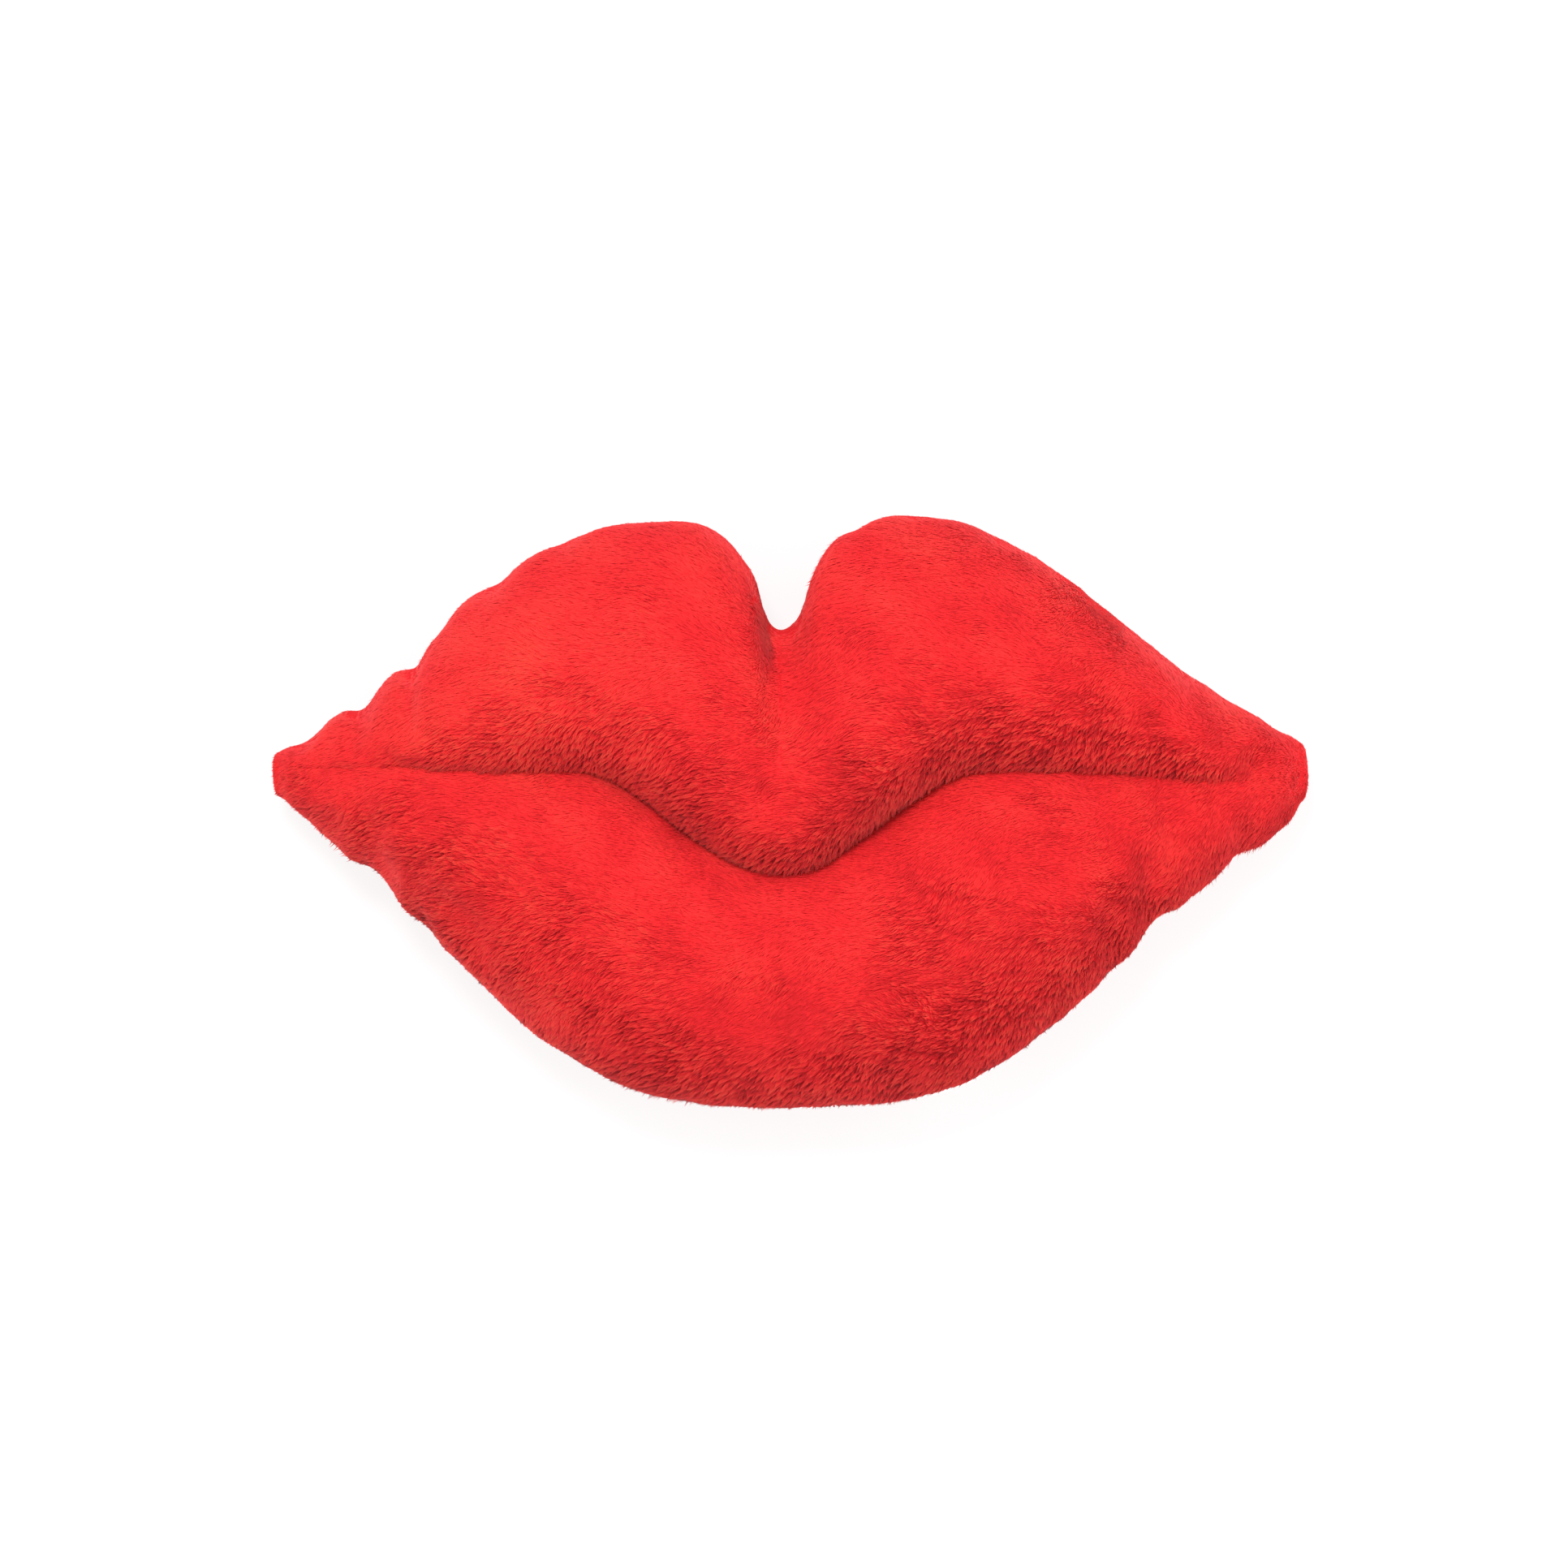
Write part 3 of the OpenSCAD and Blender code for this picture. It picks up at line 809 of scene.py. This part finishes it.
class CUSHION_OT_fillings(bpy.types.Operator):
    """Stuff each lip with a body of polyester fibre that stays clear of its cover"""

    bl_idname = "cushion.fillings"
    bl_label = "Make fillings"

    clearance = 4.2
    least_width = 34
    edge_steps = 4
    mouth_steps = 3

    def execute(self, context):
        for lip, grid in made["grids"].items():
            width = np.linalg.norm(grid[:, 0, :2] - grid[:, ARCH_STEPS, :2], axis=1)
            wide = np.flatnonzero(width > self.least_width)
            body = grid[wide[0] : wide[-1] + 1]
            inner = body - grid_normals(smoothed(body, 3), lip) * self.clearance
            front = inner[:, self.mouth_steps : ARCH_STEPS - self.edge_steps + 1]
            last = 2 * ARCH_STEPS - self.mouth_steps
            back = inner[:, ARCH_STEPS + self.edge_steps : last + 1]
            ring = np.concatenate([front, back], 1)[::2]
            name = f"{LIP_NAMES[lip]}_lip_stuffing"
            piece = mesh_object(name, ring.reshape(-1, 3), quads(ring, lip, tube=True))
            select_only(piece)
            bpy.ops.object.mode_set(mode="EDIT")
            bpy.ops.mesh.select_all(action="DESELECT")
            bpy.ops.mesh.select_mode(type="EDGE")
            bpy.ops.mesh.select_non_manifold()
            bpy.ops.mesh.fill_holes(sides=0)
            bpy.ops.mesh.select_all(action="SELECT")
            bpy.ops.mesh.normals_make_consistent(inside=False)
            bpy.ops.object.mode_set(mode="OBJECT")
            piece.data.materials.append(fibre_finish())
            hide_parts(f"{LIP_NAMES[lip]}_lip_filling")
            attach(piece, "root")
        return {"FINISHED"}


# ---- Pile ----

TUFTS_IN_PIECE = 48_000
# The way that the pile is stroked, in degrees from X, the swirls in it (radians, wavelength
# and seed), and how it hangs down the slopes.
NAP_WAY = 186
NAP_SWIRLS = ((0.26, 95, 0), (0.16, 30, 1), (0.10, 9, 2))
NAP_HANG = (0, -0.6, -0.35)
# The shape of the locks, how far apart along the nap they may slide, and how far each tip
# strays.
LOCK_STRETCH = (0.88, 1.1, 1.1)
LOCK_SLIDE = 1.6
TIP_STRAY = 0.22
# How deep the roots stand in the fabric, and the least height over the table.
ROOT_DEPTH = 0.25
PILE_FLOOR = 0.15
# How ruffled the pile is on level fabric, how much more where it faces down the lips, and the
# patches in it: share, wavelength and seed. Ruffled pile is also painted with more sheen at
# its tips and more shade at its roots.
RUFFLED, RUFFLED_DOWN = 0.24, 0.85
RUFFLED_PATCHES = ((0.12, 60, 51), (0.12, 20, 52))
# How steep and how low the outer sides start, and where tufts shrink to the corners.
STEEP = 0.55
SIDE_HEIGHTS = (55, 70)
CORNER_TUFTS = (238, 248)
# The pile's tone between its roots and its tips.
TONE = 0.62
# What the fabric's slope and a tuft's own height and width count in its shading.
SHADING = (0.9, 0.5, 0.7)


def scatter(outside, density, rng):
    """Places and normals spread evenly over triangles."""
    points, normals, corners = outside
    a, b, c = (points[corners[:, i]] for i in range(3))
    area = np.linalg.norm(np.cross(b - a, c - a), axis=1) / 2
    count = int(area.sum() * density)
    run = np.cumsum(area) / area.sum()
    pick = np.searchsorted(run, (np.arange(count) + rng.uniform(size=count)) / count).clip(
        0, len(corners) - 1
    )
    u, v = rng.uniform(size=(2, count))
    over = u + v > 1
    u[over], v[over] = 1 - u[over], 1 - v[over]
    share = np.stack([1 - u - v, u, v], 1)[..., None]
    at = (points[corners[pick]] * share).sum(1)
    up = unit((normals[corners[pick]] * share).sum(1))
    return at, up


def nap(at, up, seed):
    """The way the pile lies at each place: stroked to one side, with slow swirls, and
    down the lips where they slope."""
    flat = at * (1, 1, 0.6)
    turn = np.radians(NAP_WAY)
    for size, wavelength, number in NAP_SWIRLS:
        turn = turn + size * waves(flat, wavelength, seed + number)
    way = np.stack([np.cos(turn), np.sin(turn), np.zeros(len(at))], 1)
    slope = np.sqrt(1 - np.minimum(up[:, 2] ** 2, 1))
    way += slope[:, None] * NAP_HANG
    way -= up * (way * up).sum(1)[:, None]
    return unit(way)


def model_tuft():
    """One tuft: a slim three-sided spike, root at the origin and tip along X."""
    bpy.ops.object.select_all(action="DESELECT")
    bpy.ops.mesh.primitive_cone_add(
        vertices=3, radius1=0.5, radius2=0, depth=1, location=(0.5, 0, 0),
        rotation=(0, math.pi / 2, 0),
    )
    tuft = bpy.context.object
    bpy.ops.object.transform_apply(location=True, rotation=True, scale=True)
    points = points_of(tuft.data) * MM
    faces = [tuple(p.vertices) for p in tuft.data.polygons]
    bpy.data.objects.remove(tuft)
    return points, np.array(faces)


def tuft_cells(places, tip, band=8):
    """A square of the baked picture for each tuft, with its tip at the top, in bands."""
    side = math.ceil(math.sqrt(len(places)))
    order = np.lexsort((places[:, 0], np.floor(places[:, 1] / band)))
    rank = np.empty(len(places), int)
    rank[order] = np.arange(len(places))
    corner = np.stack([rank % side, rank // side], 1)[:, None, :].astype(float)
    inside = np.zeros((len(tip), 2))
    inside[tip] = (0.5, 0.9)
    inside[~tip] = ((0.12, 0.1), (0.5, 0.22), (0.88, 0.1))
    return (corner + inside[None]) / side


def locks(at, size, seed):
    """The lock of pile that each tuft leans to: its middle and a number from 0 to 1."""
    cells = np.floor(at / size).astype(np.int64)
    best = np.full(len(at), np.inf)
    middle, mark = np.zeros_like(at), np.zeros(len(at))
    for step in np.ndindex(3, 3, 3):
        cell = cells + np.array(step) - 1
        # Plain mixing of whole numbers gives each cell its own random numbers.
        mixed = (cell * (73856093, 19349663, 83492791)).sum(1) + seed * 2654435761
        spread = []
        for _ in range(4):
            mixed = (mixed * 6364136223846793005 + 1442695040888963407) & ((1 << 62) - 1)
            spread.append((mixed >> 30) % 10007 / 10007)
        point = (cell + np.stack(spread[:3], 1)) * size
        apart = ((point - at) ** 2).sum(1)
        nearer = apart < best
        best[nearer], middle[nearer] = apart[nearer], point[nearer]
        mark[nearer] = spread[3][nearer]
    return middle, mark


def spots_at(at, spots):
    """Sum of soft round spots at points."""
    total = np.zeros(len(at))
    for x, y, reach_x, reach_y, share in spots:
        total += share * np.exp(
            -(((at[:, 0] - x) / reach_x) ** 2) - ((at[:, 1] - y) / reach_y) ** 2
        )
    return total


def lie_of(at, up):
    """How ruffled and how flat the pile is, from 0 to 1. Where it faces down the lips it
    stands up in locks, down the outer sides it is brushed flat, and elsewhere it lies
    smooth."""
    ruffled = RUFFLED - RUFFLED_DOWN * up[:, 1]
    for size, wavelength, seed in RUFFLED_PATCHES:
        ruffled = ruffled + size * waves(at, wavelength, seed)
    ruffled = np.clip(ruffled + spots_at(at, RUFFLED_SPOTS), 0, 1)
    flat = fade(STEEP - up[:, 2], 0, 0.3) * (1 - fade(at[:, 2], *SIDE_HEIGHTS))
    return ruffled, flat


def plant(name, at, up, fabric, seed):
    """A piece of pile: copies of one tuft, each with its own size, lean and tone."""
    rng = np.random.default_rng(seed)
    count = len(at)
    tuft, faces = model_tuft()
    tip = tuft[:, 0] > 0.5
    along_nap = nap(at, up, fabric.seed)
    ruffled, flat = lie_of(at, up)
    lean = fabric.lean * (0.65 + 1.15 * ruffled) * (1 - 0.8 * flat)
    lean = lean * rng.uniform(0.8, 1.2, count)
    size = fabric.tuft_l / MM * (1 - 0.3 * flat) * rng.uniform(0.8, 1.15, count)
    size *= 1 - 0.4 * fade(np.abs(at[:, 0]), *CORNER_TUFTS)
    direction = along_nap * np.cos(lean)[:, None] + up * np.sin(lean)[:, None]
    middle, mark = locks(at * LOCK_STRETCH, fabric.lock_w / MM, fabric.seed)
    middle = middle / LOCK_STRETCH
    pull = middle - at
    pull -= up * (pull * up).sum(1)[:, None]
    reach = direction * size[:, None] + pull * (0.3 + 0.55 * ruffled)[:, None]
    reach += along_nap * ((mark - 0.5) * LOCK_SLIDE)[:, None]
    reach += rng.normal(0, TIP_STRAY, (count, 3))
    direction = unit(reach)
    height = unit(up - direction * (up * direction).sum(1)[:, None])
    width = np.cross(height, direction)
    girth = fabric.tuft_w / MM * rng.uniform(0.7, 1.25, count)
    across, over = width[:, None] * tuft[None, :, 1:2], height[:, None] * tuft[None, :, 2:]
    points = (
        at[:, None]
        + direction[:, None] * (tuft[None, :, :1] * size[:, None, None])
        + (across + over * 0.6) * girth[:, None, None]
        - up[:, None] * ROOT_DEPTH
    )
    points[..., 2] = np.maximum(points[..., 2], PILE_FLOOR)
    # Locks differ in tone at random; where the pile is ruffled the difference is larger,
    # painting in the grain of light and shade that tufts cast on each other.
    rough = ruffled * (1 + 0.8 * flat)
    tone = TONE + 0.04 * waves(at, 38, 41) + (0.06 + 0.62 * rough) * (mark - 0.5)
    tone += rng.normal(0, 0.03, count)
    # Tips are painted paler as a sheen, more where the pile is ruffled and in the sheen spots,
    # and roots darker as the shade between tufts, more where the pile is ruffled and faces
    # away from the key light.
    painted_sheen = 0.08 + (0.38 - 0.2 * flat) * ruffled + spots_at(at, SHEEN_SPOTS)
    painted_root_shade = 0.08 + 0.7 * ruffled
    tones = tone[:, None] + np.where(tip[None, :], painted_sheen[:, None], -painted_root_shade[:, None])
    upwards, high, wide = SHADING
    shading = unit(up[:, None] * upwards + over * high + across * wide)
    all_faces = (np.arange(count)[:, None, None] * len(tuft) + faces[None]).reshape(-1, 3)
    piece = mesh_object(name, points.reshape(-1, 3), all_faces)
    mesh = piece.data
    mesh.attributes.new("tone", "FLOAT", "POINT").data.foreach_set(
        "value", tones.astype(np.float32).ravel()
    )
    cells = tuft_cells(at, tip).reshape(-1, 2)
    layer = mesh.uv_layers.new(name="OFBake", do_init=False)
    layer.uv.foreach_set("vector", cells[all_faces.ravel()].astype(np.float32).ravel())
    mesh.normals_split_custom_set_from_vertices(shading.reshape(-1, 3))
    mesh.materials.append(pile_finish())
    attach(piece, "root")


# The care label in millimetres, and how far its middle is lifted off the cover.
LABEL_LENGTH = 28
LABEL_THICKNESS = 0.4
LABEL_LIFT = 0.9
LABEL_STEPS = 12


def label_sheet():
    """The care label, which is sewn into the lower edge seam and hugs the side under it."""
    low, high = (np.array(corner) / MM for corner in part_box("care_label"))
    grid = made["grids"][LOWER]
    back = grid[:, ARCH_STEPS:]
    lifted = back + grid_normals(grid, LOWER)[:, ARCH_STEPS:] * LABEL_LIFT
    lifted[:, 0] = back[:, 0]
    lifted, seam_x = lifted[SEWN_ROWS], back[SEWN_ROWS, 0, 0]
    lines = []
    for x in np.linspace(low[0], high[0], LABEL_STEPS + 1):
        row = np.interp(x, seam_x, np.arange(len(seam_x)))
        share = row - int(row)
        line = lifted[int(row)] * (1 - share) + lifted[int(row) + 1] * share
        lines.append(at_runs(line, np.linspace(0, LABEL_LENGTH, LABEL_STEPS + 1)))
    return np.array(lines)


def under_label(at):
    """Pile that the care label presses down."""
    sheet = label_sheet().reshape(-1, 3)
    margin = (0.6, 0.6, 2.5)
    return ((at > sheet.min(0) - margin) & (at < sheet.max(0) + margin)).all(1)


class CUSHION_OT_pile(bpy.types.Operator):
    """Plant the short pile of the plush on the outside of every cover"""

    bl_idname = "cushion.pile"
    bl_label = "Plant pile"

    def execute(self, context):
        fabric = context.scene.lips_fabric
        for index, ((lip, side), outside) in enumerate(made["outsides"].items()):
            rng = np.random.default_rng(fabric.seed + index)
            density = fabric.front_density if side == "front" else fabric.back_density
            at, up = scatter(outside, density, rng)
            if side == "back" and lip == LOWER:
                clear = ~under_label(at)
                at, up = at[clear], up[clear]
            order = np.argsort(at[:, 0], kind="stable")
            parts = math.ceil(len(order) / TUFTS_IN_PIECE)
            for number, chosen in enumerate(np.array_split(order, parts), 1):
                name, seed = f"{LIP_NAMES[lip]}_{side}_pile_{number}", 100 * index + number
                plant(name, at[chosen], up[chosen], fabric, seed)
        return {"FINISHED"}


# ---- Threads and label ----


def sew(name, node, lines, diameter=0.8):
    """A sewing thread through the given lines of points."""
    curve = bpy.data.curves.new(name, "CURVE")
    curve.dimensions = "3D"
    curve.bevel_depth = diameter / 2 * MM
    curve.bevel_resolution = 1
    curve.use_fill_caps = True
    for line in lines:
        spline = curve.splines.new("POLY")
        spline.points.add(len(line) - 1)
        for point, place in zip(spline.points, line):
            point.co = (*(place * MM), 1)
    piece = bpy.data.objects.new(name, curve)
    bpy.context.scene.collection.objects.link(piece)
    select_only(piece)
    bpy.ops.object.convert(target="MESH")
    piece = bpy.context.object
    piece.data.materials.clear()
    piece.data.materials.append(thread_finish())
    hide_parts(node)
    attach(piece, "root")


class CUSHION_OT_threads(bpy.types.Operator):
    """Sew the seams along the edge, the mouth and the back, and finish the closing stitches"""

    bl_idname = "cushion.threads"
    bl_label = "Sew threads"

    # The opening at the lower edge, and where the threads lie inside their seams.
    opening_w = 90
    allowance = 4.2
    beside_edge = 1.9
    needle_depth, bobbin_depth = 0.6, 2.0
    back_depth = 0.9

    def execute(self, context):
        upper, lower = made["grids"][UPPER], made["grids"][LOWER]
        for kind, side in (("needle", 1), ("bobbin", -1)):
            lines = []
            for grid in (upper, lower):
                seam, middle = grid[SEWN_ROWS, ARCH_STEPS], grid[SEWN_ROWS, 0]
                inwards = unit((middle - seam) * (1, 1, 0))
                line = seam + inwards * self.allowance + (0, 0, self.beside_edge * side)
                if grid is upper:
                    lines.append(line)
                else:
                    lines.append(line[line[:, 0] < -self.opening_w / 2])
                    lines.append(line[line[:, 0] > self.opening_w / 2])
            sew(f"edge_seam_{kind}_stitches", f"edge_seam_{kind}_thread", lines)
        crease = (upper[SEWN_ROWS, 0] + lower[SEWN_ROWS, 0]) / 2
        for kind, depth in (("needle", self.needle_depth), ("bobbin", self.bobbin_depth)):
            line = crease - (0, 0, depth)
            sew(f"mouth_seam_{kind}_stitches", f"mouth_seam_{kind}_thread", [line])
        behind = (upper[SEWN_ROWS, -1] + lower[SEWN_ROWS, -1]) / 2
        sew("back_seam_stitches", "back_seam_thread", [behind + (0, 0, self.back_depth)])
        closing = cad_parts["closing_thread"]
        closing.data.materials.clear()
        closing.data.materials.append(thread_finish())
        return {"FINISHED"}


class CUSHION_OT_label(bpy.types.Operator):
    """Sew the blank satin care label into the lower edge"""

    bl_idname = "cushion.label"
    bl_label = "Sew label"

    def execute(self, context):
        sheet = label_sheet()
        label = mesh_object("label_ribbon", sheet.reshape(-1, 3), quads(sheet, LOWER))
        ribbon = label.modifiers.new("Ribbon", "SOLIDIFY")
        ribbon.thickness = LABEL_THICKNESS * MM
        ribbon.offset = 0
        apply_all(label)
        label.data.materials.append(label_finish())
        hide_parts("care_label")
        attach(label, "root")
        return {"FINISHED"}


# ---- Stage ----

# The share of the table's own white light where the camera sees it.
TABLE_GLOW = 0.8


def table_finish():
    """Pale table that shows white and keeps a soft shadow."""
    f = Finish("pale_table", Roughness=0.9)
    f.set("Base Color", (0.95, 0.95, 0.95, 1))
    camera = f.seen_by("Camera")
    seen = camera.maths("MAXIMUM", camera, f.seen_by("Glossy"))
    f.show(seen * TABLE_GLOW, f.node("ShaderNodeEmission"), "Material Output")
    return f.material


def area_light(name, power, size, place, target):
    data = bpy.data.lights.new(name, "AREA")
    data.energy, data.shape, data.size = power, "SQUARE", size
    light = bpy.data.objects.new(name, data)
    light.location = place
    light.rotation_euler = (Vector(target) - Vector(place)).to_track_quat("-Z", "Y").to_euler()
    bpy.context.scene.collection.objects.link(light)


class CUSHION_OT_stage(bpy.types.Operator):
    """Set up the pale table, the soft lights and the camera above the cushion"""

    bl_idname = "cushion.stage"
    bl_label = "Set stage"

    side_share = 0.68

    def execute(self, context):
        scene, stage = context.scene, context.scene.lips_stage
        bpy.ops.object.select_all(action="DESELECT")
        bpy.ops.mesh.primitive_plane_add(size=6, location=(0, 0, 0))
        table = context.object
        table.name = "table"
        table.data.materials.append(table_finish())
        area_light(
            "key_light", stage.key_power, size=0.5, place=(-0.3, 0.85, 1.8),
            target=(0, 0, 0.04),
        )
        area_light(
            "side_fill", stage.key_power * self.side_share, size=1.5, place=(1.5, -0.7, 1.1),
            target=(0.1, 0, 0.04),
        )
        scene.world = bpy.data.worlds.new("white_room")
        room = Nodes(scene.world, "Background")
        room.join(room.surface.inputs["Strength"], stage.fill_strength)
        room.join(room.surface.inputs["Color"], (1, 1, 1, 1))
        white = room.node("ShaderNodeBackground", {"Color": (1, 1, 1, 1)})
        room.show(room.seen_by("Camera"), white, "World Output")
        data = bpy.data.cameras.new("camera")
        data.lens = 100
        data.sensor_width = 36
        camera = bpy.data.objects.new("camera", data)
        camera.location = (stage.camera_x, stage.camera_y, stage.camera_height)
        scene.collection.objects.link(camera)
        scene.camera = camera
        scene.view_settings.view_transform = "Standard"
        return {"FINISHED"}


class CUSHION_PT_panel(bpy.types.Panel):
    """Steps and sizes of the cushion"""

    bl_idname = "CUSHION_PT_panel"
    bl_label = "Lips Cushion"
    bl_space_type = "VIEW_3D"
    bl_region_type = "UI"
    bl_category = "Lips Cushion"

    def draw(self, context):
        for step in STEPS:
            self.layout.operator(step.bl_idname)
        for name in GROUPS:
            box = self.layout.box()
            settings = getattr(context.scene, name)
            for prop in settings.__annotations__:
                box.prop(settings, prop)


STEPS = (
    CUSHION_OT_covers, CUSHION_OT_fillings, CUSHION_OT_pile, CUSHION_OT_threads,
    CUSHION_OT_label, CUSHION_OT_stage,
)
GROUPS = {
    "lips_shape": CushionShape,
    "lips_fabric": CushionFabric,
    "lips_colours": CushionColours,
    "lips_stage": CushionStage,
}
CLASSES = (*GROUPS.values(), *STEPS, CUSHION_PT_panel)


def register():
    for listed in CLASSES:
        bpy.utils.register_class(listed)
    for name, group in GROUPS.items():
        setattr(bpy.types.Scene, name, bpy.props.PointerProperty(type=group))


def unregister():
    for name in GROUPS:
        delattr(bpy.types.Scene, name)
    for listed in reversed(CLASSES):
        bpy.utils.unregister_class(listed)


def main():
    register()
    bpy.ops.cushion.covers()
    bpy.ops.cushion.fillings()
    bpy.ops.cushion.pile()
    bpy.ops.cushion.threads()
    bpy.ops.cushion.label()
    bpy.ops.cushion.stage()
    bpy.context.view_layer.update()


if __name__ == "__main__":
    main()
